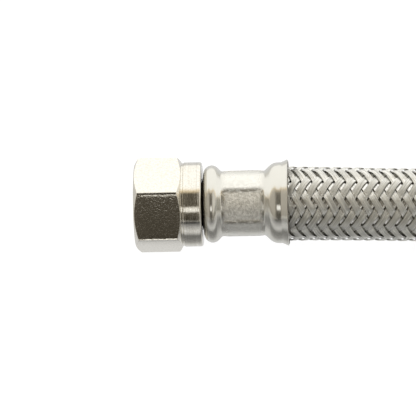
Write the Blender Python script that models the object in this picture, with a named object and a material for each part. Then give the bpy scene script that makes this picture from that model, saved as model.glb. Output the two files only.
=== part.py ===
"""A steel-braided dishwasher hose, 60 inches from nut to nut, lying coiled on a flat surface.

Each end has a swivel nut for a 3/8 inch compression valve. The nut turns on a brass insert whose
barbed stem is pressed into the hose, and a crimped steel ferrule holds hose, braid and stem together.
The near end rests at the origin with its axis along X. The hose leaves it along +X, winds into a
tied coil two turns high with half a turn on top, and ends in the far fitting, which lies on the coil.

Lengths are in metres and +Z is up. A fitting is drawn with its mouth at x = 0 and its hose at +X.
"""

import math

import bmesh
import bpy
from mathutils import Matrix, Vector

MM = 0.001

# Hose
HOSE_DIAMETER = 14.3 * MM
LINER_BORE = 9.5 * MM
BRAID_THICKNESS = 0.6 * MM
HOSE_LENGTH = 1463.0 * MM  # between the two ferrule lips

# Swivel nut, turned from hexagon bar and threaded 9/16-24 inside
ACROSS_FLATS = 17.0 * MM
HEX_LENGTH = 9.5 * MM
COLLAR_DIAMETER = 16.9 * MM
COLLAR_LENGTH = 4.0 * MM
COLLAR_CHAMFER = 0.35 * MM
FACE_CIRCLE = 16.4 * MM
CORNER_CHAMFER_ANGLE = math.radians(30)
GROOVE_DIAMETER = 16.6 * MM
GROOVE_WIDTH = 0.3 * MM
THREAD_BORE = 13.1 * MM
THREAD_COUNTERSINK = 0.75 * MM
THREAD_DEPTH = 8.2 * MM
RELIEF_DIAMETER = 14.4 * MM
RELIEF_START = 8.7 * MM
BACK_WALL = 2.8 * MM
NUT_HOLE = 10.4 * MM

# Insert, which the nut turns on
NUT_END_PLAY = 0.4 * MM
FLANGE_DIAMETER = 12.4 * MM
FLANGE_THICKNESS = 1.5 * MM
NOSE_DIAMETER = 7.9 * MM
NOSE_LENGTH = 3.4 * MM
NECK_CLEARANCE = 0.3 * MM
INSERT_BORE = 6.4 * MM
STEM_DIAMETER = 8.2 * MM
BARB_HEIGHT = 0.3 * MM
BARB_COUNT = 3
STEM_CHAMFER = 0.4 * MM

# Cone washer on the insert's nose
WASHER_DIAMETER = 12.6 * MM
WASHER_TIP_DIAMETER = 9.8 * MM
WASHER_LENGTH = 3.1 * MM
WASHER_RIM = 0.9 * MM
WASHER_CLEARANCE = 0.15 * MM

# Ferrule, drawn from thin steel tube
SHEET = 0.45 * MM
FERRULE_LENGTH = 17.0 * MM
BEAD_RADIUS = 1.65 * MM
BEAD_DIAMETER = 15.5 * MM
BEAD_FLANK = math.radians(45)
BEAD_FILLET = 0.4 * MM
CRIMP_DIAMETER = 13.0 * MM
BELL_LENGTH = 1.66586 * MM  # its level stretch, between its flank and the lip's flare
BELL_DIAMETER = 16.2 * MM
BELL_FLANK = math.radians(43)
BELL_FILLET = 0.5 * MM
BELL_SHOULDER = 2.6 * MM
LIP_DIAMETER = 17.3 * MM
LIP_FLARE = math.radians(24)
LIP_FILLET = 0.8 * MM
CRIMP_JAWS = 6
CRIMP_RIDGE = 0.12 * MM
CRIMP_HOLLOW = 0.05 * MM
CRIMP_FADE = 1.2 * MM
FIRST_RIDGE_ANGLE = math.radians(110)

# Clearances between pieces that touch
SEAT_GAP = 0.3 * MM
STEM_FIT = 0.2 * MM
LAYER_FIT = 0.15 * MM

# Coil, its ties and the two free stretches
COIL_NEAREST_X = 46.0 * MM
COIL_TURNS = 2
CLIMB_END = math.radians(340)
TOP_TURN = math.radians(180)
TAIL_RISE_START = math.radians(140)
TAIL_STRAIGHT = 20.0 * MM
TIE_THICKNESS = 1.05 * MM
TIE_WIDTH = 3.0 * MM
TIE_HEAD = (4.6 * MM, 5.2 * MM, 4.2 * MM)  # along the hose, up, and out from the strap
TIE_HEAD_BEVEL = 0.5 * MM
TALL_TIE_ANGLES = (math.radians(40), math.radians(140))
SHORT_TIE_ANGLE = math.radians(220)

# The lead's middle line from the near lip towards the coil, as (distance from the lip, height) in mm
LEAD_ROUTE = (
    (0.0, 8.35),
    (6.0, 8.15),
    (13.0, 7.85),
    (20.0, 7.5),
    (27.0, 7.2),
    (36.0, 7.15),
    (48.0, 7.2),
    (60.0, 7.45),
)
LEAD_END_HEIGHT = 7.75 * MM

# Facets
ROUND_SEGMENTS = 36
INNER_SEGMENTS = 24
COIL_SEGMENTS = 48
TIE_ARC_STEPS = 8
LEAD_STEP = 14.3 * MM  # between the middle line points of the lead
TAIL_STEPS = 10  # a point of the tail falls on each tall tie
TUBE_RESOLUTION = 3  # gives a tube ten sides

# Sizes that follow from those above
HEX_CORNER_RADIUS = ACROSS_FLATS / math.sqrt(3)
NUT_LENGTH = HEX_LENGTH + COLLAR_LENGTH
FERRULE_START = NUT_LENGTH + SEAT_GAP
FITTING_LENGTH = FERRULE_START + FERRULE_LENGTH
FLANGE_BACK = NUT_LENGTH - BACK_WALL - NUT_END_PLAY
FLANGE_FRONT = FLANGE_BACK - FLANGE_THICKNESS
NECK_RADIUS = NUT_HOLE / 2 - NECK_CLEARANCE
HOSE_END = FERRULE_START + SHEET + SEAT_GAP
FLANK_LENGTH = (BELL_DIAMETER - CRIMP_DIAMETER) / 2 / math.tan(BELL_FLANK)
FLARE_LENGTH = abs(LIP_DIAMETER - BELL_DIAMETER) / 2 / math.tan(LIP_FLARE)
LIP_SLANT = SHEET * math.sin(LIP_FLARE)
BELL_START = FITTING_LENGTH - LIP_SLANT - FLARE_LENGTH - BELL_LENGTH - FLANK_LENGTH
AXIS_HEIGHT = max(ACROSS_FLATS, LIP_DIAMETER) / 2
NEAR_MOUTH = Vector((-FITTING_LENGTH / 2, 0.0, AXIS_HEIGHT))
NEAR_LIP_X = NEAR_MOUTH.x + FITTING_LENGTH
HOSE_RADIUS = HOSE_DIAMETER / 2
COILED_TURN = COIL_TURNS * math.tau + TOP_TURN
COIL_RADIUS = (HOSE_LENGTH - TAIL_STRAIGHT - COIL_NEAREST_X - HOSE_RADIUS + NEAR_LIP_X) / (1 + COILED_TURN)
COIL_CENTRE = Vector((COIL_NEAREST_X + COIL_RADIUS + HOSE_RADIUS, -COIL_RADIUS, 0.0))
FIRST_TURN_HEIGHT = TIE_THICKNESS + SEAT_GAP + HOSE_RADIUS
COIL_TOP = FIRST_TURN_HEIGHT + (COIL_TURNS - 0.5) * HOSE_DIAMETER
TOP_TURN_HEIGHT = COIL_TOP + SEAT_GAP + HOSE_RADIUS
FAR_AXIS_HEIGHT = COIL_TOP + SEAT_GAP + HEX_CORNER_RADIUS
FAR_LIP = Vector((COIL_CENTRE.x - TAIL_STRAIGHT, COIL_CENTRE.y - COIL_RADIUS, FAR_AXIS_HEIGHT))
FAR_MOUTH = FAR_LIP - Vector((FITTING_LENGTH, 0.0, 0.0))


def clear_scene():
    for item in list(bpy.data.objects):
        bpy.data.objects.remove(item)


def material(name, colour, roughness, metallic):
    made = bpy.data.materials.new(name)
    made.use_nodes = True
    shader = made.node_tree.nodes["Principled BSDF"]
    shader.inputs["Base Color"].default_value = (*colour, 1.0)
    shader.inputs["Roughness"].default_value = roughness
    shader.inputs["Metallic"].default_value = metallic
    return made


def add_object(name, data, finish, location=(0.0, 0.0, 0.0), turn=0.0):
    """Links an object, turned about its own X axis, with its finish."""
    made = bpy.data.objects.new(name, data)
    made.location = location
    made.rotation_euler = (turn, 0.0, 0.0)
    if not data.materials:
        data.materials.append(finish)
    bpy.context.scene.collection.objects.link(made)
    return made


def arc(centre, radii, start, end, steps):
    """Points on an arc from one angle to another, in degrees. radii are those along x and across it."""
    points = []
    for i in range(steps + 1):
        angle = math.radians(start + (end - start) * i / steps)
        points.append((centre[0] + radii[0] * math.cos(angle), centre[1] + radii[1] * math.sin(angle)))
    return points


def turned(name, outline, segments):
    """A mesh made by spinning a closed outline of (x, radius) points about the X axis."""
    made = bmesh.new()
    points = [made.verts.new((x, 0.0, radius)) for x, radius in outline]
    edges = [made.edges.new((points[i - 1], points[i])) for i in range(len(points))]
    bmesh.ops.spin(
        made, geom=points + edges, cent=(0, 0, 0), axis=(1, 0, 0), angle=math.tau, steps=segments, use_merge=True
    )
    bmesh.ops.recalc_face_normals(made, faces=made.faces)
    mesh = bpy.data.meshes.new(name)
    made.to_mesh(mesh)
    made.free()
    return smooth(mesh)


def smooth(mesh):
    mesh.shade_smooth()
    mesh.set_sharp_from_angle(angle=math.radians(30))
    return mesh


def boolean_mesh(name, base, tool, operation):
    """The mesh that a Boolean of two meshes leaves, both placed at the origin."""
    first = bpy.data.objects.new(name, base)
    second = bpy.data.objects.new(name + "_tool", tool)
    for item in (first, second):
        bpy.context.scene.collection.objects.link(item)
    cut = first.modifiers.new(operation.title(), "BOOLEAN")
    cut.operation = operation
    cut.object = second
    mesh = bpy.data.meshes.new_from_object(first.evaluated_get(bpy.context.evaluated_depsgraph_get()))
    mesh.name = name
    for item in (first, second):
        bpy.data.objects.remove(item)
    return smooth(mesh)


def nut_mesh():
    """A turned blank with both end chamfers, cut to its six flats by a hexagonal prism."""
    blank_radius = HEX_CORNER_RADIUS * 1.01
    collar_radius = COLLAR_DIAMETER / 2
    bore = THREAD_BORE / 2
    slope = math.tan(CORNER_CHAMFER_ANGLE)
    front_chamfer = (blank_radius - FACE_CIRCLE / 2) * slope
    groove_bottom = GROOVE_DIAMETER / 2
    back_chamfer = (blank_radius - groove_bottom) * slope
    collar_start = HEX_LENGTH + GROOVE_WIDTH + collar_radius - groove_bottom
    outline = [
        (0.0, bore + THREAD_COUNTERSINK),
        (0.0, FACE_CIRCLE / 2),
        (front_chamfer, blank_radius),
        (HEX_LENGTH - back_chamfer, blank_radius),
        (HEX_LENGTH, groove_bottom),
        (HEX_LENGTH + GROOVE_WIDTH, groove_bottom),
        (collar_start, collar_radius),
        (NUT_LENGTH - COLLAR_CHAMFER, collar_radius),
        (NUT_LENGTH, collar_radius - COLLAR_CHAMFER),
        (NUT_LENGTH, NUT_HOLE / 2),
        (NUT_LENGTH - BACK_WALL, NUT_HOLE / 2),
        (NUT_LENGTH - BACK_WALL, RELIEF_DIAMETER / 2),
        (RELIEF_START, RELIEF_DIAMETER / 2),
        (THREAD_DEPTH, bore),
        (THREAD_COUNTERSINK, bore),
    ]
    blank = turned("nut_blank", outline, ROUND_SEGMENTS)
    made = bmesh.new()
    lying = Matrix.Translation((NUT_LENGTH / 2, 0.0, 0.0)) @ Matrix.Rotation(math.pi / 2, 4, "Y")
    bmesh.ops.create_cone(
        made,
        cap_ends=True,
        segments=6,
        radius1=HEX_CORNER_RADIUS,
        radius2=HEX_CORNER_RADIUS,
        depth=NUT_LENGTH + 2 * COLLAR_LENGTH,
        matrix=lying,
    )
    hexagon = bpy.data.meshes.new("hexagon")
    made.to_mesh(hexagon)
    made.free()
    return boolean_mesh("nut", blank, hexagon, "INTERSECT")


def insert_mesh():
    """A turned brass tube: nose, flange, neck and barbed stem."""
    bore = INSERT_BORE / 2
    nose = NOSE_DIAMETER / 2
    stem = STEM_DIAMETER / 2
    hole_in_ferrule = stem + BARB_HEIGHT
    shoulder = FERRULE_START - SEAT_GAP
    stem_start = HOSE_END
    stem_end = BELL_START + STEM_FIT + 2 * SHEET
    barb_pitch = (stem_end - stem_start - SHEET) / BARB_COUNT
    outline = [
        (FLANGE_FRONT - NOSE_LENGTH, bore),
        (FLANGE_FRONT - NOSE_LENGTH, nose),
        (FLANGE_FRONT, nose),
        (FLANGE_FRONT, FLANGE_DIAMETER / 2),
        (FLANGE_BACK, FLANGE_DIAMETER / 2),
        (FLANGE_BACK, NECK_RADIUS),
        (shoulder, NECK_RADIUS),
        (shoulder, hole_in_ferrule),
        (stem_start, hole_in_ferrule),
        (stem_start, stem),
    ]
    for barb in range(BARB_COUNT):
        tip = stem_start + (barb + 0.35) * barb_pitch
        outline.append((tip, stem))
        outline.append((tip, stem + BARB_HEIGHT))
        outline.append((tip + 0.6 * barb_pitch, stem))
    outline += [(stem_end - STEM_CHAMFER, stem), (stem_end, stem - STEM_CHAMFER), (stem_end, bore)]
    return turned("insert", outline, INNER_SEGMENTS)


def washer_mesh():
    """A rubber ring with a conical front, seated against the insert's flange."""
    bore = NOSE_DIAMETER / 2 + WASHER_CLEARANCE
    back = FLANGE_FRONT - SEAT_GAP
    front = back - WASHER_LENGTH
    outline = [
        (front, bore),
        (front, WASHER_TIP_DIAMETER / 2),
        (back - WASHER_RIM, WASHER_DIAMETER / 2),
        (back, WASHER_DIAMETER / 2),
        (back, bore),
    ]
    return turned("cone_washer", outline, INNER_SEGMENTS)


def filleted(corners, inset):
    """An open outline whose corners are rounded by arcs, moved to its right by inset. Each corner is its place,
    its radius and the steps of its arc."""
    places = [Vector(corner[0]) for corner in corners]
    outline = []
    for i, (_, radius, steps) in enumerate(corners):
        before = places[i] - places[i - 1] if i else places[1] - places[0]
        after = places[i + 1] - places[i] if i + 1 < len(places) else before
        half_turn = before.angle_signed(after) / 2
        right = (before.normalized() + after.normalized()).normalized()
        right = Vector((right.y, -right.x))
        corner = places[i] + right * inset / math.cos(half_turn)
        if not steps:
            outline.append(corner)
            continue
        bend = math.copysign(radius, half_turn) - inset
        centre = corner + right * bend / math.cos(half_turn)
        for step in range(steps + 1):
            turned_by = half_turn * (1 - 2 * step / steps)
            outline.append(centre - Matrix.Rotation(turned_by, 2) @ right * bend)
    return outline


def ferrule_corners(fine):
    """The ferrule's section from its front wall to its lip, as corners. fine gives its arcs more steps."""
    front_hole = STEM_DIAMETER / 2 + BARB_HEIGHT + STEM_FIT
    crimp, bell, lip = CRIMP_DIAMETER / 2, BELL_DIAMETER / 2, LIP_DIAMETER / 2
    bead_middle = BEAD_DIAMETER / 2 - BEAD_RADIUS
    bead_peak = bead_middle + BEAD_RADIUS * math.tan((math.pi / 2 + BEAD_FLANK) / 2)
    bead_foot = (bead_peak - crimp) / math.tan(BEAD_FLANK)
    bell_start = BELL_START - FERRULE_START
    bell_top = bell_start + FLANK_LENGTH
    lip_start = bell_top + BELL_LENGTH
    return [
        ((0.0, front_hole), 0.0, 0),
        ((0.0, bead_peak), BEAD_RADIUS, 7 if fine else 4),
        ((bead_foot, crimp), BEAD_FILLET, 1 if fine else 0),
        ((bead_foot + CRIMP_FADE, crimp), 0.0, 0),
        (((bead_foot + bell_start) / 2, crimp), 0.0, 0),
        ((bell_start - CRIMP_FADE, crimp), 0.0, 0),
        ((bell_start, crimp), BELL_FILLET, 1 if fine else 0),
        ((bell_top, bell), BELL_SHOULDER, 4 if fine else 3),
        ((lip_start, bell), LIP_FILLET, 1 if fine else 0),
        ((lip_start + FLARE_LENGTH, lip), 0.0, 0),
    ]


def ferrule_mesh():
    """The section given its sheet thickness, spun, then pressed in by the crimping jaws."""
    outer = filleted(ferrule_corners(True), 0.0)
    inner = filleted(ferrule_corners(False), SHEET)
    mesh = turned("ferrule", [*outer, *reversed(inner)], ROUND_SEGMENTS)
    half_jaw = math.pi / CRIMP_JAWS
    crimp_from = ferrule_corners(True)[2][0][0]
    crimp_to = BELL_START - FERRULE_START
    for vertex in mesh.vertices:
        x, y, z = vertex.co
        pressed = min(1.0, (x - crimp_from) / CRIMP_FADE, (crimp_to - x) / CRIMP_FADE)
        if pressed <= 0:
            continue
        angle = math.atan2(z, y)
        from_ridge = (angle - FIRST_RIDGE_ANGLE + half_jaw) % (2 * half_jaw) - half_jaw
        share = abs(from_ridge) / half_jaw
        change = CRIMP_RIDGE if share < 0.1 else -CRIMP_HOLLOW * math.sin(math.pi * share)
        grown = 1 + pressed * change / math.hypot(y, z)
        vertex.co = (x, y * grown, z * grown)
    mesh.update()
    return mesh


def sleeve_mesh(name, gripped, free):
    """One layer of the hose's end, thin where the ferrule grips it. Each pair is (inner, outer) radius."""
    grip_end = BELL_START
    free_start = BELL_START + (FITTING_LENGTH - BELL_START) * 0.6
    outline = [
        (HOSE_END, gripped[0]),
        (HOSE_END, gripped[1]),
        (grip_end, gripped[1]),
        (free_start, free[1]),
        (FITTING_LENGTH, free[1]),
        (FITTING_LENGTH, free[0]),
        (free_start, free[0]),
        (grip_end, gripped[0]),
    ]
    return turned(name, outline, INNER_SEGMENTS)


def hose_layers():
    """Meshes of the liner and the braid inside a ferrule, where the crimp squeezes them on the stem."""
    braid_out = CRIMP_DIAMETER / 2 - SHEET - LAYER_FIT
    braid_in = braid_out - BRAID_THICKNESS * 2 / 3
    liner_out = braid_in - LAYER_FIT
    liner_in = STEM_DIAMETER / 2 + BARB_HEIGHT + STEM_FIT
    free_braid = (HOSE_RADIUS - BRAID_THICKNESS, HOSE_RADIUS)
    free_liner = (LINER_BORE / 2, free_braid[0] - LAYER_FIT)
    liner = sleeve_mesh("liner_end", (liner_in, liner_out), free_liner)
    braid = sleeve_mesh("braid_end", (braid_in, braid_out), free_braid)
    return liner, braid


def add_fitting(end, mouth, meshes, finishes, nut_turn):
    """One end's six pieces, all on the fitting's axis. The nut's own origin is on that axis too."""
    add_object(end + "_nut", meshes["nut"], finishes["nickel"], mouth, nut_turn)
    add_object(end + "_insert", meshes["insert"], finishes["brass"], mouth)
    add_object(end + "_cone_washer", meshes["washer"], finishes["rubber"], mouth)
    ferrule_place = mouth + Vector((FERRULE_START, 0.0, 0.0))
    add_object(end + "_ferrule", meshes["ferrule"], finishes["steel"], ferrule_place)
    add_object(end + "_liner_end", meshes["liner"], finishes["rubber"], mouth)
    add_object(end + "_braid_end", meshes["braid"], finishes["braid"], mouth)


def smooth_line(points, spacing):
    """Points a spacing apart on one smooth curve through the given points (Catmull-Rom)."""
    line = []
    for i in range(len(points) - 1):
        before = points[max(i - 1, 0)]
        start, end = points[i], points[i + 1]
        after = points[min(i + 2, len(points) - 1)]
        steps = max(1, round((end - start).length / spacing))
        for k in range(steps):
            t = k / steps
            line.append(
                0.5
                * (
                    2 * start
                    + (end - before) * t
                    + (2 * before - 5 * start + 4 * end - after) * t**2
                    + (3 * start - before - 3 * end + after) * t**3
                )
            )
    line.append(points[-1])
    return line


def ease(share):
    """Rises from 0 to 1 with no slope at either end."""
    return 0.5 - 0.5 * math.cos(math.pi * min(max(share, 0.0), 1.0))


def coil_point(travelled, height):
    """The point of the coil's middle circle after that angle, clockwise from where the lead joins it."""
    return COIL_CENTRE + Vector((math.sin(travelled), math.cos(travelled), 0.0)) * COIL_RADIUS + Vector(
        (0.0, 0.0, height)
    )


def tube(name, points, finish):
    """A stretch of hose as a round bar along its middle line."""
    curve = bpy.data.curves.new(name, "CURVE")
    curve.dimensions = "3D"
    curve.bevel_depth = HOSE_RADIUS
    curve.bevel_resolution = TUBE_RESOLUTION
    curve.use_fill_caps = True
    spline = curve.splines.new("POLY")
    spline.points.add(len(points) - 1)
    for target, point in zip(spline.points, points, strict=True):
        target.co = (*point, 1.0)
    add_object(name, curve, finish)


def add_hose_lead(finish):
    """From the near ferrule to where the hose's side meets the coil's."""
    points = [Vector((NEAR_LIP_X + x * MM, 0.0, z * MM)) for x, z in LEAD_ROUTE]
    points[0].x += SEAT_GAP
    outside = COIL_RADIUS + HOSE_RADIUS + SEAT_GAP
    before_centre = math.sqrt(outside**2 - (COIL_RADIUS - HOSE_RADIUS) ** 2)
    points.append(Vector((COIL_CENTRE.x - before_centre, 0.0, LEAD_END_HEIGHT)))
    tube("hose_lead", smooth_line(points, LEAD_STEP), finish)


def add_hose_tail(finish):
    """The half turn on top of the coil, which rises to carry the far fitting clear of it."""
    start = CLIMB_END - math.tau
    points = []
    for i in range(TAIL_STEPS + 1):
        travelled = start + (TOP_TURN - start) * i / TAIL_STEPS
        risen = ease((travelled - TAIL_RISE_START) / (TOP_TURN - TAIL_RISE_START))
        height = TOP_TURN_HEIGHT + (FAR_AXIS_HEIGHT - TOP_TURN_HEIGHT) * risen
        points.append(coil_point(travelled, height))
    points.append(FAR_LIP + Vector((SEAT_GAP, 0.0, 0.0)))
    tube("hose_tail", points, finish)


def add_hose_coil(finish):
    """The two lower turns as one ring, turned about the coil's upright axis."""
    low, high = FIRST_TURN_HEIGHT, COIL_TOP - HOSE_RADIUS
    radii = (HOSE_RADIUS, HOSE_RADIUS)
    outline = arc((COIL_RADIUS, low), radii, -180, 0, 7) + arc((COIL_RADIUS, high), radii, 0, 180, 7)
    made = bmesh.new()
    points = [made.verts.new((radius, 0.0, height)) for radius, height in outline]
    edges = [made.edges.new((points[i - 1], points[i])) for i in range(len(points))]
    bmesh.ops.spin(
        made, geom=points + edges, cent=(0, 0, 0), axis=(0, 0, 1), angle=math.tau, steps=COIL_SEGMENTS, use_merge=True
    )
    bmesh.ops.recalc_face_normals(made, faces=made.faces)
    mesh = bpy.data.meshes.new("hose_coil")
    made.to_mesh(mesh)
    made.free()
    add_object("hose_coil", smooth(mesh), finish, COIL_CENTRE)


def tie_mesh(name, bottom, top):
    """A strap round the turns between two heights, with its locking head on the coil's inner side."""
    inner_radius = HOSE_RADIUS + SEAT_GAP
    outer_radius = inner_radius + TIE_THICKNESS
    loops = []
    for radius in (inner_radius, outer_radius):
        radii = (radius, radius)
        loops.append(
            arc((0.0, bottom), radii, -180, 0, TIE_ARC_STEPS) + arc((0.0, top), radii, 0, 180, TIE_ARC_STEPS)
        )
    made = bmesh.new()
    rings = [
        [made.verts.new((side, out, height)) for out, height in loops[which]]
        for which, side in ((0, -TIE_WIDTH / 2), (1, -TIE_WIDTH / 2), (1, TIE_WIDTH / 2), (0, TIE_WIDTH / 2))
    ]
    count = len(rings[0])
    for k in range(4):
        for i in range(count):
            a, b = rings[k], rings[(k + 1) % 4]
            made.faces.new((a[i - 1], a[i], b[i], b[i - 1]))
    bmesh.ops.recalc_face_normals(made, faces=made.faces)
    strap = bpy.data.meshes.new("strap")
    made.to_mesh(strap)
    made.clear()
    along, up, out = TIE_HEAD
    middle = Vector((0.0, -inner_radius - TIE_THICKNESS / 4 - out / 2, (bottom + top) / 2))
    bmesh.ops.create_cube(made, size=1.0, matrix=Matrix.Translation(middle) @ Matrix.Diagonal((along, out, up, 1.0)))
    bmesh.ops.bevel(made, geom=made.edges[:], offset=TIE_HEAD_BEVEL, segments=1, affect="EDGES")
    head = bpy.data.meshes.new("head")
    made.to_mesh(head)
    made.free()
    return boolean_mesh(name, strap, head, "UNION")


def add_tie(name, mesh, travelled, finish):
    place = coil_point(travelled, 0.0)
    made = add_object(name, mesh, finish, place)
    made.rotation_euler = (0.0, 0.0, -travelled)


def build():
    clear_scene()
    finishes = {
        "nickel": material("nickel_plate", (0.78, 0.76, 0.71), 0.22, 1.0),
        "steel": material("ferrule_steel", (0.70, 0.69, 0.65), 0.30, 1.0),
        "brass": material("brass", (0.72, 0.55, 0.30), 0.35, 1.0),
        "rubber": material("black_rubber", (0.03, 0.03, 0.03), 0.70, 0.0),
        "braid": material("steel_braid", (0.62, 0.61, 0.58), 0.38, 1.0),
        "nylon": material("white_nylon", (0.82, 0.82, 0.79), 0.45, 0.0),
    }
    liner, braid = hose_layers()
    meshes = {
        "nut": nut_mesh(),
        "insert": insert_mesh(),
        "washer": washer_mesh(),
        "ferrule": ferrule_mesh(),
        "liner": liner,
        "braid": braid,
    }
    corner_down = math.pi / 6
    add_fitting("near", NEAR_MOUTH, meshes, finishes, 0.0)
    add_fitting("far", FAR_MOUTH, meshes, finishes, corner_down)
    add_hose_lead(finishes["braid"])
    add_hose_coil(finishes["braid"])
    add_hose_tail(finishes["braid"])
    tall_tie = tie_mesh("tall_tie", FIRST_TURN_HEIGHT, TOP_TURN_HEIGHT)
    short_tie = tie_mesh("short_tie", FIRST_TURN_HEIGHT, COIL_TOP - HOSE_RADIUS)
    add_tie("coil_tie_first", tall_tie, TALL_TIE_ANGLES[0], finishes["nylon"])
    add_tie("coil_tie_second", tall_tie, TALL_TIE_ANGLES[1], finishes["nylon"])
    add_tie("coil_tie_third", short_tie, SHORT_TIE_ANGLE, finishes["nylon"])


build()
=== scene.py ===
"""The looks of a steel-braided dishwasher hose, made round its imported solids.

The hose runs from the near fitting, which the camera looks at, into a tied coil that lies outside the
view, and ends in a second fitting on top of the coil. Each kind of piece has its own section: liner,
braid, ferrules, swivel nuts, inserts, cone washers and coil ties.
"""

import math

import bpy
import numpy as np
from mathutils import Matrix, Vector


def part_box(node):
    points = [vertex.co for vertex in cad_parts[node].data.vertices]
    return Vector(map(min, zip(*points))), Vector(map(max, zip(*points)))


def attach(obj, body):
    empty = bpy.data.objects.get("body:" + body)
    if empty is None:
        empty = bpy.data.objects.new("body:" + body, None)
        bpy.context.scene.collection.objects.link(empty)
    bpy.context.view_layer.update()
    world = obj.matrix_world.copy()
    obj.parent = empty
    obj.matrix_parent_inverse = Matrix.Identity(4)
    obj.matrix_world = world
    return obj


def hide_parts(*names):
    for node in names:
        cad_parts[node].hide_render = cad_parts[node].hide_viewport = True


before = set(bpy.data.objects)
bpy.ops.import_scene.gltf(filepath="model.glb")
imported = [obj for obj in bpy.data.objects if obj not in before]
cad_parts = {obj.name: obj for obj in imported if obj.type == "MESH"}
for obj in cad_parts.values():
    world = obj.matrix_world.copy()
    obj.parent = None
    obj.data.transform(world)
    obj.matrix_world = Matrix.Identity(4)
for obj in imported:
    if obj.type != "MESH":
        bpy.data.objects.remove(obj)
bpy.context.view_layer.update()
MM = 0.001
UP = np.array([0.0, 0.0, 1.0])


# Camera. It looks down on the near fitting from 45 degrees, a little from the hose's side, with a long
# lens. The aim is a hair's breadth off the fitting's middle, as the photograph is framed.
CAMERA_AZIMUTH = math.radians(3.535)
CAMERA_ELEVATION = math.radians(45.404)
CAMERA_ROLL = math.radians(-3.686)
CAMERA_DISTANCE = 700 * MM
CAMERA_LENS = 302.2
AIM_OFFSET = Vector((-0.833, -0.803, 0.0)) * MM

mouth, ferrule_end = Vector(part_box("near_nut")[0]), Vector(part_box("near_ferrule")[1])
axis_height = (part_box("near_nut")[0][2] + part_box("near_nut")[1][2]) / 2
fitting_middle = Vector(((mouth.x + ferrule_end.x) / 2, 0.0, axis_height))
towards_camera = Vector(
    (
        math.sin(CAMERA_AZIMUTH) * math.cos(CAMERA_ELEVATION),
        -math.cos(CAMERA_AZIMUTH) * math.cos(CAMERA_ELEVATION),
        math.sin(CAMERA_ELEVATION),
    )
)
camera_turn = (-towards_camera).to_track_quat("-Z", "Y").to_matrix() @ Matrix.Rotation(CAMERA_ROLL, 3, "Z")
camera_data = bpy.data.cameras.new("camera")
camera_data.sensor_width = 36.0
camera_data.lens = CAMERA_LENS
camera_data.clip_start = 0.01
camera = bpy.data.objects.new("camera", camera_data)
camera_place = fitting_middle + camera_turn @ AIM_OFFSET + towards_camera * CAMERA_DISTANCE
camera.matrix_world = Matrix.Translation(camera_place) @ camera_turn.to_4x4()
bpy.context.scene.collection.objects.link(camera)
bpy.context.scene.camera = camera
bpy.context.scene.view_settings.view_transform = "Standard"


class Value:
    """One output in a node tree. Arithmetic on it adds Math nodes, and numbers may stand on either side."""

    def __init__(self, finish, socket):
        self.finish = finish
        self.socket = socket

    def _math(self, operation, *operands):
        return self.finish.node("ShaderNodeMath", dict(enumerate(operands)), operation=operation)

    def __add__(self, other):
        return self._math("ADD", self, other)

    def __sub__(self, other):
        return self._math("SUBTRACT", self, other)

    def __rsub__(self, other):
        return self._math("SUBTRACT", other, self)

    def __mul__(self, other):
        return self._math("MULTIPLY", self, other)

    def __truediv__(self, other):
        return self._math("DIVIDE", self, other)

    __radd__ = __add__
    __rmul__ = __mul__

    def sine(self):
        return self._math("SINE", self)

    def size(self):
        return self._math("ABSOLUTE", self)

    def above(self, other):
        return self._math("GREATER_THAN", self, other)

    def spread(self, low, high, new_low=0.0, new_high=1.0):
        """Takes low..high to new_low..new_high on a smooth S, and holds the ends."""
        ends = {"Value": self, "From Min": low, "From Max": high, "To Min": new_low, "To Max": new_high}
        return self.finish.node("ShaderNodeMapRange", ends, interpolation_type="SMOOTHSTEP")


class Finish:
    """A node tree being written. node() adds a node, with its settings made before its sockets are fed."""

    def __init__(self, tree):
        self.tree = tree
        tree.nodes.clear()

    def node(self, kind, feeds=None, output=0, stops=None, **settings):
        made = self.tree.nodes.new(kind)
        for name, setting in settings.items():
            setattr(made, name, setting)
        if stops:
            ramp = made.color_ramp.elements
            while len(ramp) < len(stops):
                ramp.new(0.5)
            for element, (place, colour) in zip(ramp, stops):
                element.position = place
                element.color = (*colour, 1.0)
        for name, feed in (feeds or {}).items():
            if isinstance(feed, Value):
                self.tree.links.new(feed.socket, made.inputs[name])
            else:
                made.inputs[name].default_value = feed
        return Value(self, made.outputs[output]) if made.outputs else None

    def mix(self, share, first, second):
        """A colour between two, each a colour or the output of a node."""
        first, second = (c if isinstance(c, Value) else (*c, 1.0) for c in (first, second))
        return self.node("ShaderNodeMix", {0: share, 6: first, 7: second}, output=2, data_type="RGBA")

    def split(self, vector):
        return [self.node("ShaderNodeSeparateXYZ", {0: vector}, output=i) for i in range(3)]

    def place(self):
        return self.node("ShaderNodeTexCoord", output=3)

    def noise(self, vector, scale, detail=2.0, roughness=0.5):
        feeds = {"Vector": vector, "Scale": scale, "Detail": detail, "Roughness": roughness}
        return self.node("ShaderNodeTexNoise", feeds, output=0)

    def stretched(self, vector, scales):
        return self.node("ShaderNodeMapping", {"Vector": vector, "Scale": scales})

    def bump(self, height, distance, strength=1.0, below=None):
        feeds = {"Height": height, "Distance": distance, "Strength": strength}
        if below:
            feeds["Normal"] = below
        return self.node("ShaderNodeBump", feeds)

    def surface(self, base, roughness, metallic, normal=None, **constants):
        feeds = {"Base Color": base, "Roughness": roughness, "Metallic": metallic}
        if normal:
            feeds["Normal"] = normal
        shader = self.node("ShaderNodeBsdfPrincipled", {**feeds, **constants})
        self.node("ShaderNodeOutputMaterial", {"Surface": shader})


def new_finish(name):
    material = bpy.data.materials.new(name)
    material.use_nodes = True
    return material, Finish(material.node_tree)


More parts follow.
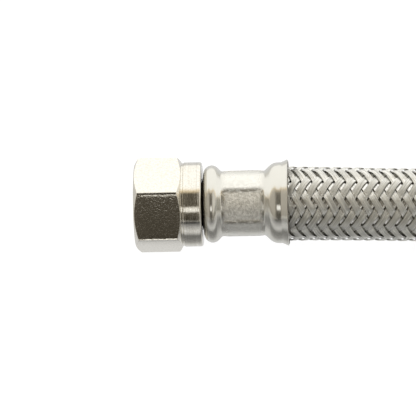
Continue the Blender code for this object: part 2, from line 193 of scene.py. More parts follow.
# Studio. A white table lit from above and behind, with a dim, warm room on the camera's side that gives the
# nickel and steel their dark bands, a small pane of light in it, and bright screens to the left and right.
FLOOR_SIZE = 4.0
FLOOR_DROP = 0.02 * MM
FLOOR_WHITE = (0.86, 0.86, 0.86, 1.0)
FLOOR_GLOW = 1.20
GLOW_SHARE = 0.8
# painted reflection: the colour that metal sees in the table away from the fitting
MIRRORED_FLOOR = (0.75, 0.7275, 0.675)
MIRRORED_REACH = 15 * MM
MIRRORED_FADE = 90 * MM
# the table as the near fitting mirrors it, painted as glowing strips that only reflections see, with darker
# bands, one of them a painted shadow in front of the fitting: millimetres behind the fitting's axis, and
# brightness
MIRRORED_STRIPS = (
    (-150, 0.05),
    (-90, 0.05),
    (-72, 0.20),
    (-45, 0.38),
    (-32, 0.56),
    (-23, 0.78),
    (-19, 0.60),
    (-15, 0.20),
    (-12, 0.24),
    (-9, 0.38),
    (-6.5, 0.74),
    (40, 0.78),
)

floor_mesh = bpy.data.meshes.new("floor")
corner = FLOOR_SIZE / 2
floor_corners = [(-corner, -corner, 0), (corner, -corner, 0), (corner, corner, 0), (-corner, corner, 0)]
floor_mesh.from_pydata(floor_corners, [], [(0, 1, 2, 3)])
floor = bpy.data.objects.new("floor", floor_mesh)
floor.location.z = -FLOOR_DROP
bpy.context.scene.collection.objects.link(floor)
floor_material, finish = new_finish("floor_white")
across, depth, _ = finish.split(finish.place())
behind, in_front = MIRRORED_STRIPS[-1][0], MIRRORED_STRIPS[0][0]
strips = [((y - in_front) / (behind - in_front), (level,) * 3) for y, level in MIRRORED_STRIPS]
along_strips = (depth / MM - in_front) / (behind - in_front)
mirrored = finish.node("ShaderNodeValToRGB", {"Fac": along_strips}, stops=strips)
far_off = across.size().spread(MIRRORED_REACH, MIRRORED_REACH + MIRRORED_FADE)
mirrored = finish.mix(far_off, mirrored, MIRRORED_FLOOR)
camera_ray, glossy_ray = (finish.node("ShaderNodeLightPath", output=i) for i in (0, 3))
lit = finish.node("ShaderNodeBsdfDiffuse", {"Color": FLOOR_WHITE})
glow = finish.node("ShaderNodeEmission", {"Color": (1.0, 1.0, 1.0, 1.0), "Strength": FLOOR_GLOW})
seen = finish.node("ShaderNodeMixShader", {0: camera_ray * GLOW_SHARE, 1: lit, 2: glow})
# painted reflection: for glossy rays the floor glows with the strips' colours instead of showing its lit
# white
painted_reflection = finish.node("ShaderNodeEmission", {"Color": mirrored, "Strength": 1.0})
mixed = finish.node("ShaderNodeMixShader", {0: glossy_ray, 1: seen, 2: painted_reflection})
finish.node("ShaderNodeOutputMaterial", {"Surface": mixed})
floor_mesh.materials.append(floor_material)

ROOM_LEVEL = 0.098
ROOM_COLOUR = (1.0, 0.88, 0.68)
LIGHT_LEVEL = 1.25
LIGHT_COLOUR = (1.0, 0.99, 0.965)
LIGHT_EDGE_COLOUR = (1.0, 0.80, 0.50)
EDGE_SHARE = 3.2
LEFT_SCREEN_LEVEL = 0.42
RIGHT_SCREEN_LEVEL = 0.70
PANE_LEVEL = 1.3
# where each light begins and has its full strength, as parts of a direction's length
BEHIND_FADE = (-0.08, 0.12)
OVERHEAD_FADE = (0.82, 1.0)
OVERHEAD_LEAN = 0.45
ROOM_FADE = (0.0, 0.5, 0.5, 1.0)
RIGHT_SCREEN_FADE = (0.18, 0.45)
LEFT_SCREEN_FADE = (0.22, 0.5)
SCREEN_FOOT = (-0.15, 0.15)
PANE_FOOT = (0.38, 0.44)
PANE_TOP = (0.58, 0.64)
PANE_SIDES = (0.16, 0.24)

world = bpy.data.worlds.new("studio")
world.use_nodes = True
bpy.context.scene.world = world
finish = Finish(world.node_tree)
across, depth, height = finish.split(finish.node("ShaderNodeTexCoord", output=0))
overhead = (height + depth * OVERHEAD_LEAN).spread(*OVERHEAD_FADE)
behind = depth.spread(*BEHIND_FADE)
lightness = finish.node("ShaderNodeMath", {0: overhead, 1: behind}, operation="MAXIMUM")
right_screen = across.spread(*RIGHT_SCREEN_FADE) * RIGHT_SCREEN_LEVEL
left_screen = (0 - across).spread(*LEFT_SCREEN_FADE) * LEFT_SCREEN_LEVEL
screens = (right_screen + left_screen) * height.spread(*SCREEN_FOOT)
in_front = 1 - depth.above(0.0)
pane_height = height.spread(*PANE_FOOT) * (1 - height.spread(*PANE_TOP))
pane = pane_height * (1 - across.size().spread(*PANE_SIDES)) * in_front
room = height.spread(*ROOM_FADE) * ROOM_LEVEL
level = room + lightness * LIGHT_LEVEL + screens * (1 - lightness) + pane * PANE_LEVEL
bright = finish.node("ShaderNodeMath", {0: lightness, 1: screens + pane}, operation="MAXIMUM")
colour = finish.mix(bright, ROOM_COLOUR, LIGHT_COLOUR)
colour = finish.mix(lightness * (1 - lightness) * EDGE_SHARE, colour, LIGHT_EDGE_COLOUR)
camera_ray = finish.node("ShaderNodeLightPath", output=0)
seen_colour = finish.mix(camera_ray, colour, (1.0, 1.0, 1.0))
seen_level = camera_ray + (1 - camera_ray) * level
sky = finish.node("ShaderNodeBackground", {"Color": seen_colour, "Strength": seen_level})
finish.node("ShaderNodeOutputWorld", {"Surface": sky})


# Liner. The hose's water-tight core, a black rubber tube that shows in the braid's gaps. It follows the
# hose's whole route, from ferrule to ferrule.
HOSE_DIAMETER = 14.3 * MM
LINER_DIAMETER = 13.0 * MM
LINER_INTO_FERRULE = 3.0 * MM
LINER_SIDES = 24
LINER_STEP = 3.0 * MM
# millimetres along the surface from the near lip, and the height of the hose's middle there
LEAD_ROUTE = (
    (0.0, 8.35),
    (6.0, 8.15),
    (13.0, 7.85),
    (20.0, 7.5),
    (27.0, 7.2),
    (36.0, 7.15),
    (48.0, 7.2),
    (60.0, 7.45),
    (72.3, 7.75),
    (90.0, 8.2),
    (106.0, 8.45),
)
CLIMB_START = math.radians(240)
CLIMB_END = math.radians(340)
TAIL_RISE_START = math.radians(140)
TOP_TURN = math.radians(180)
COIL_TURNS = 2
ROUTE_STEP = 0.5 * MM
TURN_STEP = math.radians(10)
FAR_STRAIGHT = 10 * MM
TAIL_LEAD = 20 * MM


def smooth_line(points, spacing):
    """A curve through the points. Each stretch is a Catmull-Rom cubic: its slope at a point is half the
    step from the point before to the point after."""
    stretches = []
    for i in range(len(points) - 1):
        before, start, end, after = (points[min(max(k, 0), len(points) - 1)] for k in range(i - 1, i + 3))
        steps = max(1, round(np.linalg.norm(end - start) / spacing))
        t = (np.arange(steps) / steps)[:, None]
        stretches.append(
            0.5
            * (
                2 * start
                + (end - before) * t
                + (2 * before - 5 * start + 4 * end - after) * t**2
                + (3 * start - before - 3 * end + after) * t**3
            )
        )
    return np.concatenate([*stretches, points[-1:]])


def ease(share):
    """0 before the start and 1 after the end, with half a cosine wave between."""
    return 0.5 - 0.5 * np.cos(np.pi * np.clip(share, 0, 1))


coil_low, coil_high = np.array(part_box("hose_coil"))
coil_centre = (coil_low + coil_high) / 2
coil_radius = (coil_high[0] - coil_low[0] - HOSE_DIAMETER) / 2
far_ferrule_low, far_ferrule_high = np.array(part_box("far_ferrule"))
far_lip = np.array([far_ferrule_high[0], *((far_ferrule_low + far_ferrule_high) / 2)[1:]])
near_lip_x = ferrule_end.x
first_height = coil_low[2] + HOSE_DIAMETER / 2
travelled = np.arange(0.0, COIL_TURNS * math.tau + TOP_TURN, TURN_STEP)
climb_starts = CLIMB_START + np.arange(COIL_TURNS)[:, None] * math.tau
climbs = ease((travelled - climb_starts) / (CLIMB_END - CLIMB_START)).sum(axis=0)
top_height = first_height + COIL_TURNS * HOSE_DIAMETER
rise_start = COIL_TURNS * math.tau + TAIL_RISE_START
rise = (far_lip[2] - top_height) * ease((travelled - rise_start) / (TOP_TURN - TAIL_RISE_START))
turns = np.stack(
    [
        coil_centre[0] + coil_radius * np.sin(travelled),
        coil_centre[1] + coil_radius * np.cos(travelled),
        first_height + climbs * HOSE_DIAMETER + rise,
    ],
    axis=1,
)
lead = np.array([(near_lip_x + x * MM, 0.0, z * MM) for x, z in LEAD_ROUTE])
inside_near = np.array([[near_lip_x - LINER_INTO_FERRULE, 0.0, axis_height]])
inside_far = far_lip - np.array([LINER_INTO_FERRULE, 0.0, 0.0])
tail = np.array([far_lip + (FAR_STRAIGHT, 0.0, 0.0), far_lip, inside_far])
route = smooth_line(np.concatenate([inside_near, lead, turns, tail]), ROUTE_STEP)
steps_along = np.linalg.norm(np.diff(route, axis=0), axis=1)
route_at = np.concatenate([[0.0], np.cumsum(steps_along)]) - LINER_INTO_FERRULE
hose_length = route_at[-1] - LINER_INTO_FERRULE
forward = np.gradient(route, route_at, axis=0)
forward /= np.linalg.norm(forward, axis=1)[:, None]
sideways = np.cross(forward, UP)
sideways /= np.linalg.norm(sideways, axis=1)[:, None]
upwards = np.cross(sideways, forward)


def on_hose(along, angle, radius):
    """Points at a distance along the route, an angle round it and a radius from it. Angle 0 is the
    side that is right of the way the hose runs, and a quarter turn is its top."""
    centre, side, up = (
        np.stack([np.interp(along, route_at, line[:, k]) for k in range(3)], axis=-1)
        for line in (route, sideways, upwards)
    )
    return centre + radius[..., None] * (np.cos(angle)[..., None] * side + np.sin(angle)[..., None] * up)


def skin(name, points, material, body, joined=False, uv=None, sharp=40.0, attributes=None):
    """A mesh on grids of points[body, row, column]. Columns close into rings. Rows close too where
    joined is set, and otherwise each end gets one flat cap. Faces are turned to point outwards."""
    bodies, rows, columns = points.shape[:3]
    index = np.arange(bodies * rows * columns).reshape(bodies, rows, columns)
    here = index if joined else index[:, :-1]
    there = np.roll(index, -1, axis=1) if joined else index[:, 1:]
    quads = np.stack([here, np.roll(here, -1, axis=2), np.roll(there, -1, axis=2), there], axis=-1)
    quads = quads.reshape(-1, 4)
    flat = points.reshape(-1, 3)
    corners = flat[quads]
    volume = np.einsum("ij,ij->i", corners[:, 0], np.cross(corners[:, 1], corners[:, 2])).sum()
    volume += np.einsum("ij,ij->i", corners[:, 0], np.cross(corners[:, 2], corners[:, 3])).sum()
    outward = volume > 0
    if not outward:
        quads = quads[:, ::-1]
    loops = [quads.ravel()]
    sizes = [np.full(len(quads), 4)]
    if not joined:
        first, last = (index[:, 0, ::-1], index[:, -1]) if outward else (index[:, 0], index[:, -1, ::-1])
        loops += [first.ravel(), last.ravel()]
        sizes.append(np.full(2 * bodies, columns))
    loops, sizes = np.concatenate(loops), np.concatenate(sizes)
    mesh = bpy.data.meshes.new(name)
    mesh.vertices.add(len(flat))
    mesh.vertices.foreach_set("co", flat.ravel())
    mesh.loops.add(len(loops))
    mesh.loops.foreach_set("vertex_index", loops.astype(np.int32))
    mesh.polygons.add(len(sizes))
    mesh.polygons.foreach_set("loop_start", np.concatenate([[0], np.cumsum(sizes)[:-1]]).astype(np.int32))
    if uv is not None:
        layer = mesh.uv_layers.new(name="wrap")
        layer.data.foreach_set("uv", uv.reshape(-1, 2)[loops].ravel())
    mesh.update(calc_edges=True)
    for word, values in (attributes or {}).items():
        mesh.attributes.new(word, "FLOAT", "POINT").data.foreach_set("value", values.ravel())
    mesh.shade_smooth()
    mesh.set_sharp_from_angle(angle=math.radians(sharp))
    mesh.materials.append(material)
    made = bpy.data.objects.new(name, mesh)
    bpy.context.scene.collection.objects.link(made)
    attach(made, body)
    return made


liner_material, finish = new_finish("black_rubber")
grain = finish.noise(finish.place(), 900.0, 4.0)
tone = finish.mix(grain, (0.10, 0.09, 0.068), (0.20, 0.18, 0.135))
finish.surface(tone, grain.spread(0.2, 0.8, 0.45, 0.7), 0.0, finish.bump(grain, 0.05 * MM, 0.4))

along = np.linspace(route_at[0], route_at[-1], round(hose_length / LINER_STEP))
ring = np.arange(LINER_SIDES) * math.tau / LINER_SIDES
along_grid, ring_grid = np.meshgrid(along, ring, indexing="ij")
liner_points = on_hose(along_grid, ring_grid, np.full(along_grid.shape, LINER_DIAMETER / 2))
liner = skin("rubber_liner", liner_points[None], liner_material, "hose")
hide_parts("near_liner_end", "far_liner_end")
liner_path = [list(map(float, on_hose(np.array(s), np.array(0.0), np.array(0.0)))) for s in along]


# Braid. Twelve groups of eight bright steel wires run each way round the hose. Each group passes over
# two groups and under two, so that its floats form straight rows along the hose, leaning to alternate sides.
GROUPS = 12
WIRES = 8
WIRE_DIAMETER = 0.155 * MM
WIRE_STRAY = 0.22
STRAY_LENGTH = 9.0 * MM
BRAID_RADIUS = 6.85 * MM
BRAID_LIFT = 0.27 * MM
LIFT_FLATNESS = 1.3
SPREAD_BELOW = 0.30
RELIEF_BELOW = 0.25
BRAID_PHASE = math.radians(38.6)
ROW_PITCH = 2.255 * MM
PITCH_LOSS = 0.17 * MM
PITCH_RECOVERY = 6.0 * MM
ROW_OFFSET = 0.05
SWELL = 0.2 * MM
SWELL_LENGTH = 14.0 * MM
BRAID_INTO_FERRULE = 2.6 * MM
FINE_LENGTH = 44.0 * MM
FINE_STEPS = 4
FINE_POINTS = 3
PLAIN_STEPS = 2
COIL_STRETCHES = 3
# a ribbon's section: heights in wire diameters above its middle line, and where its underside ends
WIRE_BASE = 0.35
WIRE_ROUND = 0.40
PLAIN_TOPS = (0.30, 0.55, 0.30)
UNDERSIDE = 0.40
UNDER_ENDS = (0.46, -0.46)
# numbers without a common measure, so that no wire's phase or streaks look like another's
GROUP_PHASE = 12.9898
WIRE_PHASE = 78.233
PHASE_SCALE = 43758.5453
STREAK_SHIFT = 37.0

# the angle that a group has turned through by each point of the route
from_end = np.minimum(np.abs(route_at), np.abs(hose_length - route_at))
pitch_here = ROW_PITCH - PITCH_LOSS * np.exp(-from_end / PITCH_RECOVERY)
turn_rate = math.tau / GROUPS / pitch_here
turned = np.concatenate([[0.0], np.cumsum((turn_rate[1:] + turn_rate[:-1]) / 2 * np.diff(route_at))])
turned -= np.interp(0.0, route_at, turned) + ROW_OFFSET
group_angle = math.tau / GROUPS


def floats(lean, crossings):
    """The rounded square wave: tanh of a cosine that turns once in four crossings, from -1 to 1."""
    wave = -lean * np.cos(math.tau * (crossings - 0.5) / 4)
    return np.tanh(LIFT_FLATNESS * wave) / math.tanh(LIFT_FLATNESS)


def braid(turned_at, across, relief, fall):
    """Ribbons of one lean, and how raised each point is, from 0 to 1. A group's middle line is a helix. A
    point is moved across it by a width at a right angle in the unrolled sheet, and lifted by a rounded
    square wave of the number of crossings passed: a half-period of two crossings, counted where the other
    lean's groups run. A ribbon is pressed wider and flatter where it passes under."""
    group = np.arange(GROUPS)[:, None, None]
    lean = -1 if fall else 1
    helix = group * group_angle + lean * turned_at[None, :, None]
    raised = 0.5 + 0.5 * floats(lean, 2 * helix / group_angle)
    across = across * (1 + SPREAD_BELOW * (1 - raised))
    relief = relief * (RELIEF_BELOW + (1 - RELIEF_BELOW) * raised)
    middle = np.interp(turned_at, turned, route_at)[None, :, None]
    rate = np.interp(middle, route_at, turn_rate)
    slant = np.arctan(rate * BRAID_RADIUS)
    along = middle - lean * across * np.sin(slant)
    passed = np.interp(along, route_at, turned)
    angle = helix + across * np.cos(slant) / BRAID_RADIUS
    above = floats(lean, group + (angle + lean * passed) / group_angle)
    swell = SWELL * np.exp(-np.interp(along, route_at, from_end) / SWELL_LENGTH)
    radius = BRAID_RADIUS + swell + BRAID_LIFT * above + relief
    return on_hose(along, BRAID_PHASE + angle, radius), 0.5 + 0.5 * above


def stray(wire, turned_at):
    """How far each wire stands above its neighbours: a slow sine along the ribbon. Each wire's phase is
    the fraction of a large sine of its group's and its own number, which is as good as random."""
    number = np.clip(np.floor(wire), 0, WIRES - 1)
    group = np.arange(2 * GROUPS)[:, None, None]
    phase = np.sin(group * GROUP_PHASE + number * WIRE_PHASE) * PHASE_SCALE % 1.0
    waves = np.sin(turned_at[None, :, None] * BRAID_RADIUS / STRAY_LENGTH * math.tau + phase * math.tau)
    return WIRE_STRAY * WIRE_DIAMETER * waves


def ribbon_section(points_per_wire):
    """Across a ribbon: the tops of its round wires side by side, then back underneath. Gives each
    point's place across the ribbon, its height, and its place counted in wires."""
    if not points_per_wire:
        place = np.array([-0.5, 0.0, 0.5])
        top = np.array(PLAIN_TOPS) * WIRE_DIAMETER
    else:
        place = np.linspace(-0.5, 0.5, WIRES * points_per_wire + 1)
        from_wire = (place + 0.5) * WIRES % 1.0 * 2 - 1
        wire_top = WIRE_BASE + WIRE_ROUND * np.sqrt(np.clip(1 - from_wire**2, 0, 1))
        top = (wire_top - place**2) * WIRE_DIAMETER
    under = UNDER_ENDS if points_per_wire else (0.0,)
    place = np.concatenate([place, under])
    top = np.concatenate([top, [-UNDERSIDE * WIRE_DIAMETER] * len(under)])
    return place * WIRES * WIRE_DIAMETER, top, (place + 0.5) * WIRES


braid_material, finish = new_finish("steel_braid")
wrap = finish.node("ShaderNodeUVMap", uv_map="wrap")
u = finish.split(wrap)[0]
raised = finish.node("ShaderNodeAttribute", attribute_name="raised", output=2)
wires = (u * math.pi).sine().size() * raised
streak = finish.noise(finish.stretched(wrap, (1.1, 0.12, 1.0)), 1.0, 2.0, 0.6).spread(0.28, 0.72)
tone = finish.mix(streak, (0.58, 0.575, 0.54), (0.93, 0.925, 0.885))
scratch = finish.bump(streak, 0.03 * MM, 0.6)
rough = 0.11 + raised * streak.spread(0.0, 1.0, 0.36, 0.20)
finish.surface(tone, rough, 0.92, finish.bump(wires, 0.05 * MM, 0.7, scratch))


def braid_piece(name, start, end, steps, points_per_wire):
    """Both leans of the braid over one stretch of the hose."""
    crossings = abs(end - start) / (group_angle / 2)
    turned_at = np.linspace(start, end, max(2, round(crossings * steps)) + 1)
    across, relief, wire = (values[None, None, :] for values in ribbon_section(points_per_wire))
    relief = relief + stray(wire, turned_at) * (relief > 0)
    leans = ((True, relief[:GROUPS]), (False, relief[GROUPS:]))
    ribbons = [braid(turned_at, across, height, fall) for fall, height in leans]
    points, raised = (np.concatenate(values) for values in zip(*ribbons))
    uv = np.zeros((*points.shape[:3], 2))
    uv[..., 0] = wire
    shift = np.arange(2 * GROUPS)[:, None, None] * STREAK_SHIFT
    uv[..., 1] = turned_at[None, :, None] * BRAID_RADIUS / MM + shift
    attributes = {"raised": raised}
    return skin(name, points, braid_material, "hose", uv=uv, sharp=60.0, attributes=attributes)


tail_start = hose_length - TAIL_LEAD - coil_radius * (TOP_TURN + math.tau - CLIMB_END)
first_turned, fine_turned, tail_turned, last_turned = np.interp(
    (-BRAID_INTO_FERRULE, FINE_LENGTH, tail_start, hose_length + BRAID_INTO_FERRULE), route_at, turned
)
braids = [
    braid_piece("braid_near", first_turned, fine_turned, FINE_STEPS, FINE_POINTS),
    braid_piece("braid_tail", tail_turned, last_turned, PLAIN_STEPS, 0),
]
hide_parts("near_braid_end", "hose_lead")
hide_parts("hose_tail", "far_braid_end")
stretch_ends = np.linspace(fine_turned, tail_turned, COIL_STRETCHES + 1)
for number in range(COIL_STRETCHES):
    ends = stretch_ends[number : number + 2]
    braids.append(braid_piece(f"braid_coil_{number + 1}", *ends, PLAIN_STEPS, 0))
    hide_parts("hose_coil")


# Ferrules. Each is drawn from stainless tube: a rolled bead at the nut's end, a stretch pressed onto the
# hose by six jaws, and a bell with a flared lip. The jaws leave a ridge where two of them meet.
SHEET = 0.45 * MM
FERRULE_LENGTH = 17.0 * MM
FRONT_HOLE = 9.2 * MM
BEAD_RADIUS = 1.65 * MM
BEAD_DIAMETER = 15.5 * MM
BEAD_FLANK = math.radians(45)
BEAD_FILLET = 0.4 * MM
CRIMP_DIAMETER = 13.0 * MM
BELL_LENGTH = 4.8 * MM
BELL_DIAMETER = 16.2 * MM
BELL_FLANK = math.radians(43)
BELL_FILLET = 0.5 * MM
BELL_SHOULDER = 2.6 * MM
LIP_DIAMETER = 17.3 * MM
LIP_FLARE = math.radians(24)
LIP_FILLET = 0.8 * MM
LIP_LAND = 0.1 * MM
PRESSED_ROWS = 18
ROW_MARGIN = 0.3 * MM
CRIMP_JAWS = 6
CRIMP_RIDGE = 0.10 * MM
CRIMP_HOLLOW = 0.05 * MM
CRIMP_FADE = 1.2 * MM
# how far a ridge and its torn marks reach, as shares of half a jaw
RIDGE_WIDTH = 0.10
TORN_WIDTH = 0.13
FIRST_RIDGE = math.radians(110)
SCUFF_MIDDLE = math.radians(142)
SCUFF_LEAST = 0.15
FRONT_SHADE = 0.10 * MM
ROUND_STEPS = 180
BEAD_STEPS = 24
SHOULDER_STEPS = 14
FILLET_STEPS = 5


def filleted(corners, inset):
    """An open outline of (x, radius) corners, each rounded by an arc that touches both of its sides, and
    moved to its right by inset. An arc's centre lies on the corner's bisector, and it turns by the angle
    between the sides."""
    places = np.array([(x, radius) for x, radius, _, _ in corners])
    sides = np.diff(places, axis=0)
    sides /= np.linalg.norm(sides, axis=1)[:, None]
    sides = np.concatenate([sides[:1], sides, sides[-1:]])
    outline = []
    for place, before, after, (_, _, radius, steps) in zip(places, sides[:-1], sides[1:], corners):
        middle = (before + after) / np.linalg.norm(before + after)
        right = np.array([middle[1], -middle[0]])
        half_turn = math.atan2(before[1] * after[0] - before[0] * after[1], before @ after) / 2
        bend = math.copysign(radius, half_turn) - inset
        centre = place + right * (bend + inset) / math.cos(half_turn)
        turned_by = half_turn * np.linspace(-1, 1, steps + 1)[:, None]
        spokes = right * np.cos(turned_by) + np.array([-right[1], right[0]]) * -np.sin(turned_by)
        outline.append(centre - spokes * bend if steps else [place + right * inset / math.cos(half_turn)])
    return np.concatenate(outline)


crimp, bell, lip = CRIMP_DIAMETER / 2, BELL_DIAMETER / 2, LIP_DIAMETER / 2
bead_peak = BEAD_DIAMETER / 2 - BEAD_RADIUS + BEAD_RADIUS * math.tan((math.pi / 2 + BEAD_FLANK) / 2)
bead_foot = (bead_peak - crimp) / math.tan(BEAD_FLANK)
bell_start = FERRULE_LENGTH - BELL_LENGTH
lip_edge = FERRULE_LENGTH - SHEET * math.sin(LIP_FLARE)
straight = np.linspace(bead_foot + ROW_MARGIN, bell_start - ROW_MARGIN, PRESSED_ROWS)
# x, radius, the rounding, and the steps of its arc
ferrule_corners = [
    (0.0, FRONT_HOLE / 2, 0.0, 0),
    (0.0, bead_peak, BEAD_RADIUS, BEAD_STEPS),
    (bead_foot, crimp, BEAD_FILLET, FILLET_STEPS),
    *((x, crimp, 0.0, 0) for x in straight),
    (bell_start, crimp, BELL_FILLET, FILLET_STEPS),
    (bell_start + (bell - crimp) / math.tan(BELL_FLANK), bell, BELL_SHOULDER, SHOULDER_STEPS),
    (lip_edge - (lip - bell) / math.tan(LIP_FLARE), bell, LIP_FILLET, FILLET_STEPS),
    (lip_edge - LIP_LAND, lip - LIP_LAND * math.tan(LIP_FLARE), 0.0, 0),
    (lip_edge, lip, 0.0, 0),
]


def turned_points(section, angle, place):
    """Spins a section of (x, radius) about the fitting's axis. The section may differ by angle."""
    if section.ndim == 2:
        section = np.repeat(section[:, None], len(angle), axis=1)
    x, radius = section[..., 0].T, section[..., 1].T
    turn = angle[:, None]
    return np.stack([x, radius * np.cos(turn), radius * np.sin(turn)], axis=-1) + place


steel_material, finish = new_finish("ferrule_steel")
place = finish.place()
pressed, pinched, scuffed, painted_shade = (
    finish.node("ShaderNodeAttribute", attribute_name=word, output=2)
    for word in ("pressed", "pinched", "scuffed", "painted_shade")
)
grain = finish.noise(place, 2600.0, 3.0, 0.7)
patch = finish.noise(place, 420.0, 2.0, 0.5)
marks = finish.noise(finish.stretched(place, (1100.0, 2600.0, 2600.0)), 1.0, 3.0, 0.7)
torn = pinched * marks.spread(0.36, 0.52)
mottle = finish.noise(place, 1700.0, 3.0, 0.7).spread(0.40, 0.60)
worn = finish.mix(mottle, (0.68, 0.67, 0.62), (0.93, 0.92, 0.87))
worn = finish.mix(scuffed, (0.80, 0.79, 0.735), worn)
worn = finish.mix(pressed, (0.69, 0.68, 0.63), worn)
tone = finish.mix(torn * 0.8, worn, (0.24, 0.22, 0.18))
# painted shade: a dark colour where the attribute is set, standing in for the shade in the gap by the nut
# and inside the ferrule
tone = finish.mix(painted_shade, tone, (0.16, 0.135, 0.10))
rough = patch.spread(0.35, 0.65, 0.13, 0.21) + pressed * 0.12 + scuffed * 0.10 + painted_shade * 0.2
height = grain * (0.08 + scuffed * 0.92) + torn
finish.surface(tone, rough, 0.84, finish.bump(height, 0.20 * MM, 0.9))

round_angle = np.arange(ROUND_STEPS) * math.tau / ROUND_STEPS
section = np.concatenate([filleted(ferrule_corners, 0.0), filleted(ferrule_corners, SHEET)[::-1]])
pressed = np.clip(np.minimum(section[:, 0] - bead_foot, bell_start - section[:, 0]) / CRIMP_FADE, 0, 1)
half_jaw = math.pi / CRIMP_JAWS
from_ridge = np.abs((round_angle - FIRST_RIDGE + half_jaw) % (2 * half_jaw) - half_jaw) / half_jaw
ridge = CRIMP_RIDGE * np.exp(-((from_ridge / RIDGE_WIDTH) ** 2))
press = ridge - CRIMP_HOLLOW * np.sin(np.pi * from_ridge)
inner = np.arange(len(section)) >= len(section) // 2
# painted shade: the sheet's inside and the bead's face towards the nut are marked to be coloured dark
painted_ferrule_shade = np.maximum(np.clip(1 - section[:, 0] / FRONT_SHADE, 0, 1), inner)
scuff = SCUFF_LEAST + (1 - SCUFF_LEAST) * np.cos(round_angle - SCUFF_MIDDLE) ** 4
attributes = {
    "pressed": np.repeat(pressed[None, :], ROUND_STEPS, axis=0),
    "scuffed": scuff[:, None] * pressed[None, :],
    "pinched": np.exp(-((from_ridge[:, None] / TORN_WIDTH) ** 2)) * pressed[None, :],
    "painted_shade": np.repeat(painted_ferrule_shade[None, :], ROUND_STEPS, axis=0),
}
section = np.repeat(section[:, None], ROUND_STEPS, axis=1)
section[..., 1] += pressed[:, None] * press[None, :]
for end in ("near", "far"):
    low, high = np.array(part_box(f"{end}_ferrule"))
    place = (low[0], (low[1] + high[1]) / 2, (low[2] + high[2]) / 2)
    points = turned_points(section, round_angle, place)[None]
    name = f"{end}_crimped_ferrule"
    piece = skin(name, points, steel_material, "hose", joined=True, attributes=attributes)
    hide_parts(f"{end}_ferrule")


# Swivel nuts. Turned from hexagon bar in brass and bright nickel-plated, with both ends chamfered, a round
# collar behind a narrow groove, and a 9/16-24 thread inside. The nut turns freely on the insert's flange.
ACROSS_FLATS = 17.0 * MM
HEX_LENGTH = 9.5 * MM
NUT_LENGTH = 13.5 * MM
COLLAR_RADIUS = 8.45 * MM
GROOVE_RADIUS = 8.3 * MM
GROOVE_WIDTH = 0.3 * MM
FACE_RADIUS = 8.2 * MM
NUT_SIDES = 6
HALF_SIDE = math.radians(30)
FAR_TURN = math.radians(30)
CHAMFER_SLOPE = math.tan(math.radians(30))
CORNER_ROUNDING = 0.14 * MM
THREAD_INNER = 6.56 * MM
THREAD_OUTER = 7.1 * MM
THREAD_PITCH = 1.058 * MM
THREAD_START = 0.75 * MM
THREAD_END = 8.2 * MM
THREAD_MARGIN = 0.1 * MM
THREAD_FADE = 0.6 * MM
# a thread's depth, from 0 to 1: its distance from a crest's middle in pitches, times RISE, less CREST
THREAD_RISE = 2.4
THREAD_CREST = 0.2
THREAD_ROWS = 57
RELIEF_START = 8.7 * MM
RELIEF_RADIUS = 7.2 * MM
BACK_WALL = 2.8 * MM
NUT_HOLE = 5.2 * MM
EDGE_STEPS = 3
# degrees from a hexagon's corner, close together where its rounding begins
FLAT_ANGLES = (0.0, 0.14, 0.28, 0.412, 0.8, 2.6, 6.0, 10.0, 15.0, 20.0, 25.0)


def rounded(knots, cuts):
    """Replaces each knot of a closed outline by a quadratic curve from its cut before to its cut after."""
    before, after = np.roll(knots, 1, axis=0) - knots, np.roll(knots, -1, axis=0) - knots
    start = knots + before / np.linalg.norm(before, axis=-1, keepdims=True) * cuts
    end = knots + after / np.linalg.norm(after, axis=-1, keepdims=True) * cuts
    t = np.linspace(0, 1, EDGE_STEPS + 1)[:, None, None, None]
    curve = (1 - t) ** 2 * start + 2 * t * (1 - t) * knots + t**2 * end
    return curve.transpose(1, 0, 2, 3).reshape(-1, *knots.shape[1:])


def round_outline(knots):
    """The same for knots of (x, radius, cut in millimetres) that don't differ by angle."""
    corners = np.array([(x, radius) for x, radius, _ in knots])[:, None]
    return rounded(corners, np.array([cut for _, _, cut in knots])[:, None, None] * MM)[:, 0]


half_side = np.radians(FLAT_ANGLES)
side = np.concatenate([-half_side[:0:-1], half_side, [HALF_SIDE]])
nut_angle = (np.arange(NUT_SIDES)[:, None] * (2 * HALF_SIDE) + side[None, :]).ravel()
from_corner = np.abs(np.tile(side, NUT_SIDES))
corner_centre = (ACROSS_FLATS / 2 - CORNER_ROUNDING) / math.cos(HALF_SIDE)
within = np.clip(CORNER_ROUNDING**2 - (corner_centre * np.sin(from_corner)) ** 2, 0, None)
hex_radius = np.minimum(
    ACROSS_FLATS / 2 / np.cos(HALF_SIDE - from_corner),
    np.where(within > 0, corner_centre * np.cos(from_corner) + np.sqrt(within), np.inf),
)
flat = np.ones_like(nut_angle)
collar_start = HEX_LENGTH + GROOVE_WIDTH + COLLAR_RADIUS - GROOVE_RADIUS
